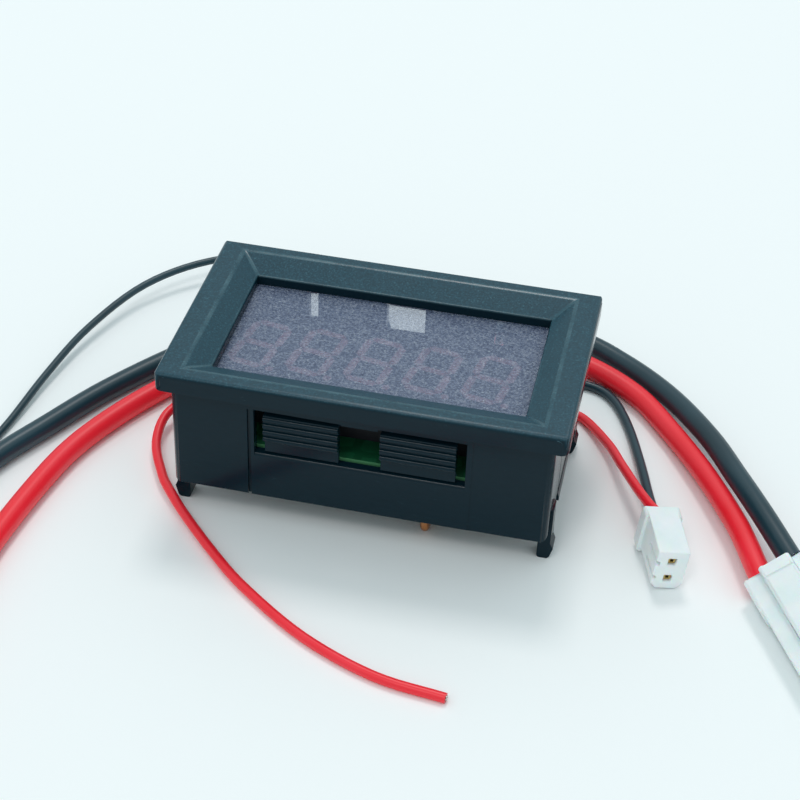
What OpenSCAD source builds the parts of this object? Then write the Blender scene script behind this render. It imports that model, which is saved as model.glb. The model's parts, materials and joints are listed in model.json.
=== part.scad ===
// Digital panel meter: a snap-in moulded case with a bezel, a tinted display filter,
// a circuit board with a five-digit display, a wire current shunt and eight soldered leads.
// It lies on its four legs with the display upwards. Sizes are in millimetres.
// X runs along the long side, Y along the short side and Z up, away from the table.

/* [Bezel] */
// Width of the bezel, along the long side
bezel_w = 48; // [47.2:0.2:56]
// Depth of the bezel, along the short side
bezel_d = 29; // [28.6:0.2:36]
// Height of the bezel flange
bezel_h = 2.45; // [2.2:0.05:4]
// Radius of the bezel's corners seen from the front
bezel_corner_r = 1; // [0.4:0.1:2]
// Radius of the bezel's outer front edge
bezel_edge_r = 0.6; // [0.2:0.1:1]
// Width of the flat rim at the two short sides
rim_x = 3; // [1:0.1:4]
// Width of the flat rim at the two long sides
rim_y = 1.8; // [1:0.1:3]
// Width of the sloping facets at the short sides
facet_x = 2.65; // [1:0.05:6]
// Width of the sloping facets at the long sides
facet_y = 3.1; // [1:0.1:6]
// Depth of the sloping facets round the window
facet_drop = 1.5; // [0.6:0.1:1.8]
// Height of the upright wall between the facets and the filter
sight_wall = 1.2; // [0.8:0.1:2]

/* [Case] */
// How far the flange overhangs the short walls of the case body
flange_x = 1.5; // [1:0.1:3]
// How far the flange overhangs the long walls
flange_y = 1.3; // [1:0.1:3]
// Height of the case body from the flange to its open rear edge
case_h = 14.35; // [13:0.05:20]
// Wall thickness of the case body
wall = 1.2; // [0.9:0.1:1.5]
// Radius of the case's upright corners
case_corner_r = 0.8; // [0.3:0.1:1.1]
// Radius of the corners at the rear edge
rear_corner_r = 0.8; // [0.3:0.1:1.5]
// Width of the slightly raised middle field on the long walls
field_w = 26.4; // [25.6:0.2:34]
// How far that field stands proud
field_step = 0.08; // [0.04:0.02:0.2]

/* [Clips] */
// Width of a ribbed snap clip
clip_w = 8.85; // [6:0.05:9.5]
// Distance between the middles of the two clips of one wall
clip_pitch = 13.8; // [13:0.1:14.6]
// Free gap beside a clip at the window's end
clip_side_gap = 1.17; // [0.6:0.01:2]
// Height of a clip from its root to its free end
clip_h = 5.7; // [5:0.1:6.5]
// Height of the plain root of a clip
clip_root_h = 1.9; // [1.2:0.1:2.4]
// Thickness of the plain root
clip_root_t = 0.65; // [0.5:0.05:0.9]
// How far the ribbed head stands out of the wall
clip_proud = 0.5; // [0.35:0.05:0.8]
// Number of grip ribs on a head
clip_ribs = 4; // [3:1:5]
// Slit under the root, where the clip bends
clip_hinge_gap = 0.2; // [0.1:0.05:0.3]
// Gap over the free end of a clip
clip_end_gap = 0.5; // [0.2:0.05:0.8]
// Height of the windows' sill over the rear edge
sill_h = 6.4; // [5.6:0.1:7]

/* [Legs and latches] */
// Height of the legs under the rear edge
leg_h = 4.2; // [3:0.1:7]
// Width of a leg
leg_w = 2.2; // [1.6:0.1:3]
// Distance between the middles of the two legs of one short wall
leg_pitch = 20; // [17:0.2:21]
// How far a leg stands proud of the short wall
leg_proud = 0.35; // [0.2:0.05:0.6]
// How far a leg rises on the short wall
leg_rise = 3.4; // [2:0.1:6]
// Thickness of a leg above its foot
leg_t = 0.9; // [0.7:0.05:1.2]
// Height of the thicker foot
foot_h = 2.4; // [2.2:0.1:2.8]
// How far the snap barb of a foot points outwards
barb_out = 0.35; // [0.2:0.05:0.9]
// Width of the latch tongue in the middle of a short wall
tongue_w = 8; // [5:0.2:11]
// Width of the slots beside the tongue
tongue_slot = 0.5; // [0.4:0.05:0.9]
// Height of the slots over the rear edge
tongue_rise = 7.6; // [6:0.1:9]
// How far the tongue reaches below the rear edge
tongue_drop = 1.1; // [0.4:0.1:2]
// How far the tongue's hook reaches under the board
hook_reach = 0.8; // [0.4:0.1:1.2]

/* [Filter and display] */
// Thickness of the tinted filter
filter_t = 1; // [0.8:0.1:1.5]
// How far the filter laps behind the window's edges
filter_lap = 1.2; // [0.6:0.1:1.5]
// Height of the display module
display_t = 6.3; // [5:0.1:8]
// Depth of the display module
display_d = 14.2; // [12.5:0.1:15]
// Number of digits
digits = 5; // [3:1:5]
// Distance from digit to digit
digit_pitch = 7.05; // [6.4:0.05:7.2]
// Height of a digit
digit_h = 9.2; // [8:0.1:10]
// Width of a digit
digit_w = 5.2; // [4:0.1:5.4]
// Thickness of a stroke
stroke = 1; // [0.7:0.05:1.2]
// Slant of the digits
slant = 10; // [0:1:12]
// Plain border beside the first and last digits
display_border = 1.2; // [1:0.1:1.6]
// Length of the two small dabs of glue behind the filter
dab_l = 1.3; // [0.8:0.1:3]
// Length of the middle dab of glue
middle_dab_l = 4.9; // [2:0.1:8]
// Distance from pin to pin under the display
pin_pitch = 2.54; // [2:0.01:3]
// Number of pins in a row
pins_in_row = 6; // [4:1:8]

/* [Board] */
// Thickness of the circuit board
board_t = 1.6; // [1:0.1:2]
// Gap between the board and the case walls
board_gap = 0.2; // [0.1:0.05:0.3]
// Wire diameter of the current shunt
shunt_wire = 1.1; // [0.6:0.1:1.4]
// Depth of the shunt's loop, from foot to foot
shunt_span = 10.5; // [8:0.1:12]
// Length of the controller chip
chip_l = 6.5; // [5:0.1:8]
// Width of the controller chip's moulding
chip_w = 4.4; // [3.6:0.1:5]
// Pins on each side of the controller chip
chip_pins = 10; // [6:1:12]
// Length of the flat resistors and capacitors
part_l = 2; // [1.6:0.1:2.4]
// Width of the flat resistors and capacitors
part_w = 1.25; // [0.8:0.05:1.4]
// Height of a flat resistor
resistor_h = 0.55; // [0.4:0.05:0.8]
// Height of a flat capacitor
capacitor_h = 1; // [0.6:0.05:1.3]

/* [Leads] */
// Diameter of the four thick leads
thick_lead_d = 2.8; // [2:0.1:3]
// Diameter of the thin leads
thin_lead_d = 1.2; // [0.8:0.1:1.4]
// Diameter of the finest black lead
fine_lead_d = 1; // [0.8:0.1:1.2]
// Length of a bare tinned end
bare_l = 5; // [3:0.5:8]

/* [Plugs] */
// Distance between the two contacts of the small plug
small_pitch = 2.54; // [2.3:0.02:2.7]
// Length of the small plug's body
small_l = 6.3; // [5.5:0.1:8]
// Width of the small plug's body, across its contacts
small_w = 3.8; // [3.4:0.1:4.4]
// Height of the small plug, along its row of contacts
small_h = 5.6; // [5.4:0.1:6.4]
// Length of the small plug's collar
small_collar_l = 1.7; // [1:0.1:2]
// Distance between the two contacts of the large plug
large_pitch = 3.96; // [3.9:0.02:4.2]
// Length of the large plug
large_l = 16.5; // [14:0.1:20]
// Height of the large plug
large_h = 4.7; // [4.6:0.1:6.4]
// Distance from the large plug's side to the middle of its contact
large_margin = 2.2; // [2.1:0.1:2.8]

/* [Hidden] */
$fn = 48;
eps = 0.01;

// Levels
rear_z = leg_h;                              // open rear edge of the case
flange_z = rear_z + case_h;                  // underside of the bezel flange
front_z = flange_z + bezel_h;                // front plane of the bezel
window_z = front_z - facet_drop;             // edge where the facets end
ceiling_z = window_z - sight_wall;           // inside face of the front wall
filter_z = ceiling_z - filter_t;
display_gap = 0.1;
display_z = filter_z - display_gap - display_t;
board_z = display_z - board_t;
sill_z = rear_z + sill_h;
clip_z = sill_z + clip_hinge_gap;
side_window_top = clip_z + clip_h + clip_end_gap;

// Plan sizes
window_w = bezel_w - 2 * (rim_x + facet_x);
window_d = bezel_d - 2 * (rim_y + facet_y);
case_w = bezel_w - 2 * flange_x;
case_d = bezel_d - 2 * flange_y;
inner_w = case_w - 2 * wall;
inner_d = case_d - 2 * wall;
side_window_w = clip_pitch + clip_w + 2 * clip_side_gap;
middle_gap = clip_pitch - clip_w;
board_w = inner_w - 2 * board_gap;
board_d = inner_d - 2 * board_gap;
board_right = board_w / 2;
board_left = -board_right;
board_front = -board_d / 2;
filter_w = window_w + 2 * filter_lap;
filter_d = window_d + 2 * filter_lap;
display_x = -1.1;
display_y = -0.9;
display_w = (digits - 1) * digit_pitch + digit_w + 2 * display_border;
face_depth = 0.4;                            // depth of the light segments in the face
pin_d = 0.5;
pin_hole_d = 0.6;
pin_row_gap = display_d - 4;
pin_below = 1.2;                             // length of a pin below the board
solder_r = 0.8;

// ---------- small helpers ----------

// Rectangle with true round corners, centred
module round_rect(w, d, r) {
    union() {
        square([w - 2 * r, d], center = true);
        square([w, d - 2 * r], center = true);
        for (x = [-1, 1], y = [-1, 1])
            translate([x * (w / 2 - r), y * (d / 2 - r)]) circle(r);
    }
}

// Upright bar with round corners, standing on z
module round_block(w, d, h, r, z) {
    translate([0, 0, z]) linear_extrude(h) round_rect(w, d, r);
}

// Profile drawn in X and Z, extruded along Y and centred
module along_y(length) {
    translate([0, length / 2, 0]) rotate([90, 0, 0]) linear_extrude(length) children();
}

// Profile drawn in Y and Z, extruded along X and centred
module along_x(length) {
    translate([-length / 2, 0, 0]) rotate([90, 0, 90]) linear_extrude(length) children();
}

// Upright cut profile whose two upper corners are round
module top_rounded(w, z0, z1, r) {
    union() {
        translate([-w / 2, z0]) square([w, z1 - z0 - r]);
        translate([-w / 2 + r, z0]) square([w - 2 * r, z1 - z0]);
        for (x = [-1, 1]) translate([x * (w / 2 - r), z1 - r]) circle(r);
    }
}

// Upright cut profile whose two lower corners are round
module bottom_rounded(w, z0, z1, r) {
    union() {
        translate([-w / 2, z0 + r]) square([w, z1 - z0 - r]);
        translate([-w / 2 + r, z0]) square([w - 2 * r, z1 - z0]);
        for (x = [-1, 1]) translate([x * (w / 2 - r), z0 + r]) circle(r);
    }
}

module both_ends() {
    children();
    mirror([1, 0, 0]) children();
}

module both_walls() {
    children();
    mirror([0, 1, 0]) children();
}

// ---------- case ----------

// Flange block with its front edge rounded along all four sides
module bezel_block() {
    intersection() {
        round_block(bezel_w, bezel_d, bezel_h, bezel_corner_r, flange_z);
        along_y(bezel_d + 1) top_rounded(bezel_w, flange_z, front_z, bezel_edge_r);
        along_x(bezel_w + 1) top_rounded(bezel_d, flange_z, front_z, bezel_edge_r);
    }
}

// Sloping recess round the window: two wedges that meet in mitred corners
module facet_recess() {
    over = 1;
    slope_x = (bezel_w / 2 - rim_x - window_w / 2) / facet_drop;
    slope_y = (bezel_d / 2 - rim_y - window_d / 2) / facet_drop;
    intersection() {
        along_y(bezel_d) polygon([
            [-window_w / 2, window_z], [window_w / 2, window_z],
            [window_w / 2 + slope_x * (facet_drop + over), front_z + over],
            [-window_w / 2 - slope_x * (facet_drop + over), front_z + over]]);
        along_x(bezel_w) polygon([
            [-window_d / 2, window_z], [window_d / 2, window_z],
            [window_d / 2 + slope_y * (facet_drop + over), front_z + over],
            [-window_d / 2 - slope_y * (facet_drop + over), front_z + over]]);
    }
}

module window_cut() {
    translate([0, 0, ceiling_z - 1])
        linear_extrude(window_z - ceiling_z + 1 + eps)
            square([window_w, window_d], center = true);
}

module case_block() {
    intersection() {
        union() {
            round_block(case_w, case_d, flange_z - rear_z + eps, case_corner_r, rear_z);
            translate([0, 0, rear_z]) linear_extrude(flange_z - rear_z + eps)
                square([field_w, case_d + 2 * field_step], center = true);
        }
        along_y(case_d + 2) bottom_rounded(case_w, rear_z, front_z, rear_corner_r);
    }
}

module cavity() {
    translate([-inner_w / 2, -inner_d / 2, rear_z - 1]) cube([inner_w, inner_d, ceiling_z - rear_z + 1]);
}

// Opening in the front long wall in which two clips stand
module side_window() {
    depth = wall + 2;
    lip = 0.3;                               // lower top edge between the clips
    translate([0, -case_d / 2 + wall / 2, 0]) difference() {
        along_y(depth) translate([-side_window_w / 2, sill_z])
            square([side_window_w, side_window_top - sill_z]);
        along_y(depth) translate([-middle_gap / 2 + lip, side_window_top - lip])
            square([middle_gap - 2 * lip, lip + 1]);
    }
    sill_chamfer();
}

// Broken edge along the outside of the sill
module sill_chamfer() {
    chamfer = 0.25;
    outer = -case_d / 2 - field_step;
    along_x(side_window_w) polygon([
        [outer - 1, sill_z - chamfer - 1], [outer + chamfer + eps, sill_z + eps],
        [outer - 1, sill_z + eps]]);
}

// Slots that free the latch tongue in the right short wall
module tongue_slots() {
    for (y = [-1, 1])
        translate([inner_w / 2 - 1, y * (tongue_w + tongue_slot) / 2 - tongue_slot / 2, rear_z - 1])
            cube([wall + 2, tongue_slot, tongue_rise + 1]);
}

// End of the latch tongue with its nub, and the hook that carries the board
module tongue_end() {
    nub = 0.4;
    hook_top = board_z;
    along_y(tongue_w) polygon([
        [inner_w / 2, rear_z + eps], [case_w / 2, rear_z + eps],
        [case_w / 2 + nub / 2, rear_z - tongue_drop / 2], [case_w / 2 + nub / 2, rear_z - tongue_drop],
        [inner_w / 2 + nub, rear_z - tongue_drop]]);
    along_y(tongue_w - 1) polygon([
        [inner_w / 2 + eps, hook_top], [inner_w / 2 - hook_reach, hook_top],
        [inner_w / 2 - hook_reach, hook_top - 0.5], [inner_w / 2 + eps, hook_top - 2]]);
}

// Leg profile: rib on the wall, thin shank, thicker foot with a barb and a round inner toe
module leg_profile() {
    face = case_w / 2 + leg_proud;
    toe_r = 0.4;
    chamfer = 0.3;
    barb_z = foot_h * 2 / 3;
    foot_in = inner_w / 2;
    union() {
        translate([face - leg_t, foot_h - eps]) square([leg_t, rear_z + leg_rise - foot_h - leg_proud + eps]);
        polygon([
            [case_w / 2 - eps, rear_z + leg_rise], [case_w / 2 - eps, rear_z],
            [face, rear_z], [face, rear_z + leg_rise - leg_proud]]);
        polygon([
            [foot_in + toe_r, 0], [face - chamfer, 0], [face, chamfer],
            [face + barb_out, barb_z], [face, foot_h], [foot_in, foot_h], [foot_in, toe_r]]);
        translate([foot_in + toe_r, toe_r]) circle(toe_r);
    }
}

module legs() {
    for (y = [-1, 1])
        translate([0, y * leg_pitch / 2, 0]) along_y(leg_w) leg_profile();
}

module housing() {
    color([0.18, 0.25, 0.28]) difference() {
        union() {
            bezel_block();
            difference() {
                case_block();
                cavity();
                both_ends() tongue_slots();
                both_walls() side_window();
            }
            both_ends() {
                legs();
                tongue_end();
            }
        }
        cavity();
        facet_recess();
        window_cut();
    }
}

// ---------- snap clips ----------

// Clip profile on the front wall: Y towards the viewer is negative
module clip_profile() {
    rib_pitch = (clip_h - clip_root_h) / clip_ribs;
    rib_r = rib_pitch * 0.34;
    face = -case_d / 2;
    inner = face + wall - 0.2;
    translate([inner - clip_root_t, 0]) square([clip_root_t, clip_root_h + eps]);
    translate([face - clip_proud + rib_r, clip_root_h])
        square([inner - face + clip_proud - rib_r, clip_h - clip_root_h]);
    for (i = [0:clip_ribs - 1])
        translate([face - clip_proud + rib_r, clip_root_h + (i + 0.5) * rib_pitch]) circle(rib_r);
}

module clip() {
    color([0.16, 0.22, 0.25]) translate([0, 0, clip_z]) along_x(clip_w) clip_profile();
}

module clip_front_left() { translate([-clip_pitch / 2, 0, 0]) clip(); }
module clip_front_right() { translate([clip_pitch / 2, 0, 0]) clip(); }
module clip_back_left() { mirror([0, 1, 0]) clip_front_left(); }
module clip_back_right() { mirror([0, 1, 0]) clip_front_right(); }

// ---------- filter and display ----------

module filter() {
    color([0.35, 0.36, 0.45, 0.8]) round_block(filter_w, filter_d, filter_t, 0.5, filter_z);
}

// Dabs of glue that hold the filter's far edge
module glue_dabs() {
    dabs = [[-0.3, dab_l], [0.015, middle_dab_l], [0.31, dab_l]];   // place as a share of the width
    reach = (inner_d - filter_d) / 2;
    color([0.85, 0.7, 0.7]) for (d = dabs)
        translate([d[0] * filter_w, filter_d / 2 + reach / 2, ceiling_z - filter_t / 2])
            cube([d[1], reach, filter_t], center = true);
}

// One stroke of a digit: a bar with pointed ends, of the given length, centred
module stroke_bar(length) {
    t = stroke / 2;
    polygon([[-length / 2, 0], [-length / 2 + t, t], [length / 2 - t, t],
        [length / 2, 0], [length / 2 - t, -t], [-length / 2 + t, -t]]);
}

// A figure eight of seven strokes, with its decimal point, upright and centred
module figure_eight() {
    gap = 0.12;
    across = digit_w - stroke - gap;
    half = (digit_h - stroke) / 2;
    for (i = [-1:1]) translate([0, i * half]) stroke_bar(across);
    for (x = [-1, 1], y = [-1, 1])
        translate([x * (digit_w - stroke) / 2, y * half / 2]) rotate(90) stroke_bar(half - gap);
    translate([digit_w / 2 + 0.55, -half]) circle(stroke / 2, $fn = 24);
}

// Shear by the slant is done by placing, so every stroke keeps its form
module digit_row() {
    for (i = [0:digits - 1])
        translate([display_x + (i - (digits - 1) / 2) * digit_pitch, display_y])
            rotate(-slant) figure_eight();
}

module display_shell() {
    top = display_z + display_t;
    color([0.08, 0.08, 0.1]) difference() {
        translate([display_x - display_w / 2, display_y - display_d / 2, display_z])
            cube([display_w, display_d, display_t]);
        translate([0, 0, top - face_depth]) linear_extrude(face_depth + 1) digit_row();
        pin_places() translate([0, 0, display_z - 1]) cylinder(h = 2, d = pin_d);
    }
}

module display_segments() {
    color([0.75, 0.6, 0.62]) translate([0, 0, display_z + display_t - face_depth])
        linear_extrude(face_depth) digit_row();
}

// Two rows of pins, along the display's long edges
module pin_places() {
    for (i = [0:pins_in_row - 1], y = [-1, 1])
        translate([display_x + (i - (pins_in_row - 1) / 2) * pin_pitch, display_y + y * pin_row_gap / 2, 0])
            children();
}

module display_pins() {
    color([0.8, 0.8, 0.78]) pin_places()
        translate([0, 0, board_z - pin_below])
            cylinder(h = pin_below + board_t + 1, d = pin_d);
}

// ---------- board and what it carries ----------

module main_board() {
    color([0.05, 0.35, 0.2]) difference() {
        translate([-board_w / 2, -board_d / 2, board_z]) cube([board_w, board_d, board_t]);
        pin_places() translate([0, 0, board_z - 1]) cylinder(h = board_t + 2, d = pin_hole_d);
    }
}

// The chips stand along the board's front edge and its two ends, clear of the leads in the middle.
edge = 1.8;                                  // from the board's edge to the middle of a flat part
row_y = board_front + edge;
chip_at = [board_left + 4.6, board_front + 6.3];
chip_h = 1;
chip_stand = 0.1;

module controller_chip() {
    color([0.12, 0.12, 0.13])
        translate([chip_at[0] - chip_w / 2, chip_at[1] - chip_l / 2, board_z - chip_stand - chip_h])
            cube([chip_w, chip_l, chip_h]);
}

// Gull-wing legs on both sides of the chip
module chip_legs() {
    pitch = chip_l / chip_pins;
    thick = 0.15;
    reach = 1;
    knee = 0.4;
    mid = board_z - chip_stand - chip_h / 2;
    color([0.8, 0.8, 0.8]) for (s = [-1, 1], i = [0:chip_pins - 1])
        translate([chip_at[0], chip_at[1] + (i - (chip_pins - 1) / 2) * pitch, 0])
            mirror([s < 0 ? 1 : 0, 0, 0])
                along_y(pitch * 0.4) translate([chip_w / 2, 0]) polygon([
                    [0, mid - thick / 2], [knee + thick, mid - thick / 2],
                    [knee + thick, board_z - thick], [reach, board_z - thick],
                    [reach, board_z], [knee, board_z], [knee, mid + thick / 2], [0, mid + thick / 2]]);
}

// Small power regulator with its tab, lying under the board
module regulator() {
    body = [4.5, 2.5, 1.5];
    tab = [1.7, 1.6, 0.4];
    lead = [0.45, 1, 0.4];
    color([0.12, 0.12, 0.13]) translate([board_right - 6.1, board_front + 5.3, board_z]) {
        translate([-body[0] / 2, -body[1] / 2, -body[2]]) cube(body);
        translate([-tab[0] / 2, body[1] / 2, -tab[2]]) cube(tab);
        for (x = [-1.5, 0, 1.5])
            translate([x - lead[0] / 2, -body[1] / 2 - lead[1], -lead[2]]) cube(lead);
    }
}

// Flat chip parts of one kind, soldered under the board
module chip_parts(places, size) {
    for (p = places)
        translate([p[0], p[1], board_z - size[2] / 2]) rotate(p[2]) cube(size, center = true);
}

module resistors() {
    places = [[board_left + edge, 2.6, 90], [board_left + 4.3, 1.4, 90], [board_left + 7.8, 1.2, 90],
        [board_left + 8.5, row_y, 0], [board_left + 9.3, row_y + 3.2, 90], [board_right - edge, row_y + 5.8, 90],
        [board_right - 9.3, row_y + 7.4, 90], [board_right - 9.3, row_y + 3.8, 90]];
    color([0.15, 0.15, 0.17]) chip_parts(places, [part_l, part_w, resistor_h]);
}

module capacitors() {
    places = [[board_left + edge, row_y, 0], [board_left + 4.6, row_y, 0], [board_right - 8.4, row_y, 90],
        [board_right - edge, row_y + 0.4, 90]];
    color([0.62, 0.5, 0.36]) chip_parts(places, [part_l, part_w, capacitor_h]);
}

shunt_x = 7.7;
shunt_low = 0.9;
shunt_y = board_front + 0.95 + shunt_span / 2;

// Copper-alloy wire bent into a U, with both feet in the board
module current_shunt() {
    bend = 1.1;
    half = shunt_span / 2;
    color([0.72, 0.45, 0.25]) translate([shunt_x, shunt_y, 0]) {
        for (y = [-1, 1]) {
            translate([0, y * half, shunt_low + bend])
                cylinder(h = board_z - shunt_low - bend, d = shunt_wire);
            translate([0, y * (half - bend), shunt_low + bend]) rotate([0, 90, 0])
                rotate([0, 0, y < 0 ? -90 : 0]) rotate_extrude(angle = 90)
                    translate([bend, 0]) circle(shunt_wire / 2);
        }
        translate([0, half - bend, shunt_low]) rotate([90, 0, 0])
            cylinder(h = shunt_span - 2 * bend, d = shunt_wire);
    }
}

// ---------- leads ----------
// Points of each route, from the solder joint outwards. They start below the board, pass under
// the rear edge of the case and lie on the table from there.
thick_z = board_z - 1.7;
thin_z = board_z - 0.8;
pass_z = rear_z - 0.8;
end_x = -case_w / 2;

thick_red_left_route = [
    [-8.5, -2, thick_z], [-8.7, 3, thick_z - 0.6], [-9.3, 9, pass_z], [-11.5, 15.3, 1.6], [-17.5, 18.6, 1.4],
    [-24, 15.6, 1.4], [-29.3, 9.2, 1.4], [-34.2, 1.1, 1.4], [-37.8, -7.5, 1.4], [-39.7, -17, 1.4],
    [-40.8, -27, 1.4], [-41.2, -38, 1.4], [-40.2, -48, 1.4], [-37.8, -58, 1.4]];
thick_black_left_route = [
    [-5.3, -2, thick_z], [-5.4, 3, thick_z - 0.6], [-5.8, 9, pass_z], [-6.4, 15.5, 1.6], [-9.6, 22.6, 1.4],
    [-16.5, 25.6, 1.4], [-24, 22, 1.4], [-30.7, 14.8, 1.4], [-37.6, 4.9, 1.4], [-42.4, -4, 1.4],
    [-46.5, -12.2, 1.4], [-49, -21, 1.4], [-49.6, -30.5, 1.4], [-48.6, -40, 1.4]];
thin_black_left_route = [
    [-2.8, -1, thin_z + 0.1], [-2.8, 4, thin_z - 1.1], [-2.8, 10.5, pass_z - 0.2], [-3.2, 19, 2.6],
    [-6.5, 28.6, 3],
    [-14, 36.4, 3.2], [-24, 38.3, 3.2], [-33.1, 34.6, 3], [-40, 27.3, 2.6], [-44.3, 16.6, 2],
    [-46.4, 6.3, 1.3], [-47.9, -5, 0.6], [-50, -14, 0.5], [-53.4, -22.6, 0.5], [-58, -30.6, 0.5]];
thin_red_left_route = [
    [end_x + 10, 6.2, thin_z], [end_x + 7, 6.1, thin_z - 0.9], [end_x + 3.5, 5.7, pass_z + 1],
    [end_x, 5.2, pass_z - 0.7], [end_x - 3.4, 4.5, 2.6], [end_x - 5.8, 1.2, 2.1], [end_x - 5.5, -3.9, 1.5],
    [end_x - 3.1, -9, 1.2], [end_x - 1.3, -11.6, 1.1], [end_x + 1.7, -15.2, 1],
    [-15.8, -20.4, 0.8], [-10.5, -25.2, 0.6], [-2, -31.2, 0.6], [7, -35.1, 0.6], [15.4, -36.4, 0.6]];
thick_black_right_route = [
    [0.9, -2, thick_z], [0.9, 3, thick_z - 0.6], [0.9, 9, pass_z], [1.2, 16, 1.6], [4, 25.4, 1.4],
    [11, 32, 1.4],
    [19.5, 31.8, 1.4], [26.6, 28.1, 1.4], [33.5, 21.6, 2], [39.3, 13, 3.1], [43.4, 4.6, 4.1],
    [46.8, -2.2, 4.6], [50.2, -8.8, 4.6], [51.4, -11.1, 4.6]];
thick_red_right_route = [
    [5, -2, thick_z], [5, 3, thick_z - 0.6], [5, 9, pass_z], [5.6, 16, 1.6], [9.2, 24, 1.4],
    [15.8, 27.8, 1.4],
    [22.6, 25.9, 1.4], [29.4, 21.3, 1.4], [34.4, 15, 1.5], [39.4, 6.8, 2.1], [43.6, -1.5, 2.6],
    [45.4, -5.9, 2.8], [47.1, -10.4, 2.8], [48.3, -12.7, 2.7]];
thin_red_right_route = [
    [16.5, 0, thin_z], [16.6, 5, thin_z - 0.9], [17, 11.5, pass_z - 0.8], [19.2, 15.3, 1], [22.8, 16, 0.6],
    [26.9, 10.6, 1.4], [29.3, 5.3, 2.5], [31.6, 0.3, 3.5], [33.3, -2.9, 4.1], [34.5, -4.6, 4.3],
    [35.1, -6.2, 4.3]];
thin_black_right_route = [
    [13, 0, thin_z], [13, 5, thin_z - 0.9], [13.1, 11.5, pass_z - 0.8], [15.2, 18.6, 0.8], [19.5, 22.4, 0.6],
    [23.2, 22.8, 0.6], [26.4, 20.8, 0.6], [29.1, 15.6, 0.6], [31.5, 8, 1], [33.1, 1.8, 1.5],
    [34.2, -2, 1.7], [34.5, -4.4, 1.8], [34.8, -6.2, 1.8]];

lead_sides = 8;

// Direction of a route at point i
function run(route, i) =
    let (a = route[max(i - 1, 0)], b = route[min(i + 1, len(route) - 1)]) (b - a) / norm(b - a);

// One ring of points round route point i
function ring(route, i, r) =
    let (t = run(route, i), side = cross(t, [0, 0, 1]) / norm(cross(t, [0, 0, 1])), up = cross(side, t))
    [for (k = [0:lead_sides - 1])
        let (a = 360 * (k + 0.5) / lead_sides) route[i] + r * (cos(a) * side + sin(a) * up)];

function sweep_points(route, r) = [for (i = [0:len(route) - 1]) each ring(route, i, r)];

// Triangles between neighbouring rings, and the two flat ends
function sweep_faces(rings) =
    let (n = lead_sides)
    concat(
        [[for (k = [n - 1:-1:0]) k]],
        [for (i = [0:rings - 2], k = [0:n - 1]) [i * n + k, i * n + (k + 1) % n, (i + 1) * n + k]],
        [for (i = [0:rings - 2], k = [0:n - 1])
            [i * n + (k + 1) % n, (i + 1) * n + (k + 1) % n, (i + 1) * n + k]],
        [[for (k = [0:n - 1]) (rings - 1) * n + k]]);

module lead(route, d) {
    polyhedron(sweep_points(route, d / 2), sweep_faces(len(route)), convexity = 6);
}

// Bare tinned strands that carry on from the end of a lead
module bare_tip(route, d) {
    last = len(route) - 1;
    t = run(route, last);
    core = 0.55;
    color([0.8, 0.8, 0.78]) translate(route[last])
        rotate([0, 90 - asin(t[2]), atan2(t[1], t[0])]) cylinder(h = bare_l, d = core * d, $fn = 16);
}

module thick_red_left() { color("crimson") lead(thick_red_left_route, thick_lead_d); }
module thick_black_left() { color([0.1, 0.13, 0.15]) lead(thick_black_left_route, thick_lead_d); }
module thin_black_left() { color([0.1, 0.13, 0.15]) lead(thin_black_left_route, fine_lead_d); }
module thin_red_left() { color("crimson") lead(thin_red_left_route, thin_lead_d); }
module thick_black_right() { color([0.1, 0.13, 0.15]) lead(thick_black_right_route, thick_lead_d); }
module thick_red_right() { color("crimson") lead(thick_red_right_route, thick_lead_d); }
module thin_red_right() { color("crimson") lead(thin_red_right_route, thin_lead_d); }
module thin_black_right() { color([0.1, 0.13, 0.15]) lead(thin_black_right_route, thin_lead_d); }

module thick_red_tip() { bare_tip(thick_red_left_route, thick_lead_d); }
module thick_black_tip() { bare_tip(thick_black_left_route, thick_lead_d); }
module thin_black_tip() { bare_tip(thin_black_left_route, fine_lead_d); }

// Stripped strands of a lead lying along the board, with the solder that holds them
module lead_joint(route, d) {
    start = route[0];
    strip = 1.2 * d;
    core = 0.6 * d;
    foot = board_z - start[2];
    slope = run(route, 0);
    translate(start) rotate([asin(slope[2]), 0, -atan2(slope[0], slope[1])]) rotate([90, 0, 0])
        cylinder(h = strip, d = core, $fn = 16);
    translate([start[0], start[1] - strip / 2 - 0.1 * d, start[2]])
        cylinder(h = foot, r1 = core * 0.5, r2 = core * 0.75, $fn = 24);
}

module solder_joints() {
    color([0.78, 0.78, 0.76]) {
        difference() {
            pin_places() translate([0, 0, board_z - 0.8])
                cylinder(h = 0.8, r1 = pin_d / 2 + 0.1, r2 = solder_r);
            pin_places() translate([0, 0, board_z - 1]) cylinder(h = 2, d = pin_d);
        }
        difference() {
            for (y = [-1, 1]) translate([shunt_x, shunt_y + y * shunt_span / 2, board_z - 1])
                cylinder(h = 1, r1 = shunt_wire / 2 + 0.1, r2 = shunt_wire / 2 + 0.5);
            for (y = [-1, 1]) translate([shunt_x, shunt_y + y * shunt_span / 2, board_z - 2])
                cylinder(h = 3, d = shunt_wire);
        }
        for (r = [thick_red_left_route, thick_black_left_route, thick_black_right_route,
                thick_red_right_route])
            lead_joint(r, thick_lead_d);
        for (r = [thin_red_right_route, thin_black_right_route]) lead_joint(r, thin_lead_d);
        lead_joint(thin_black_left_route, fine_lead_d);
        side_joint();
    }
}

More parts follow.
